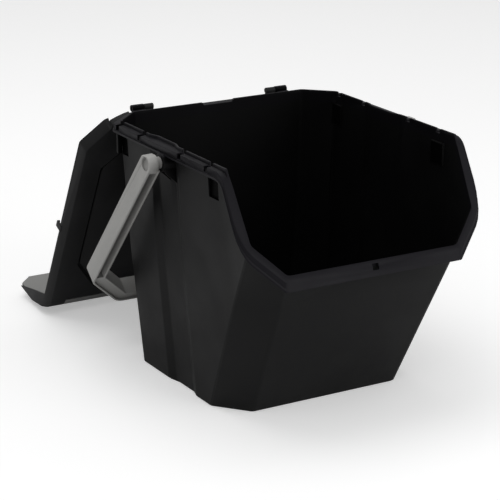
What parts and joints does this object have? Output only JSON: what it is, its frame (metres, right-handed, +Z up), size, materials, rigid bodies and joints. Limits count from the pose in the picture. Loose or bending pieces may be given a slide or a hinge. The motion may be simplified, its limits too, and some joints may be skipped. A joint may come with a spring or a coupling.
{
  "type": "attached lid tote",
  "caption": "Black moulded sorting bin with a sloping scoop front, a hinged one-piece lid with a grey front grip, and a grey swinging bail handle.",
  "frame": {"origin": "centre of the base, on its underside", "axes": "+Z up, -Y towards the low scoop front, +X to the right seen from the front"},
  "size_m": [0.367, 0.6307, 0.3087],
  "materials": {
    "body_plastic": "fine moulded texture, low sheen",
    "lid_plastic": "fine moulded texture, low sheen",
    "grip_plastic": "fine moulded texture, satin",
    "handle_plastic": "fine moulded texture, satin"
  },
  "bodies": {
    "body": {"body": "body_plastic"},
    "lid": {"lid": "lid_plastic", "lid_front_grip": "grip_plastic"},
    "handle": {"handle": "handle_plastic"}
  },
  "joints": [
    {"name": "lid_hinge", "type": "hinge", "parent": "body", "child": "lid", "pos_m": [0, 0.152, 0.3045], "axis": [1, 0, 0], "range_deg": [0, 242.8]},
    {"name": "handle_swing", "type": "hinge", "parent": "body", "child": "handle", "pos_m": [0, -0.025, 0.285], "axis": [1, 0, 0], "range_deg": [0, 128.7]}
  ],
  "couplings": [
    {"joint": "handle_swing", "follows": "lid_hinge", "ratio": 0.53}
  ]
}
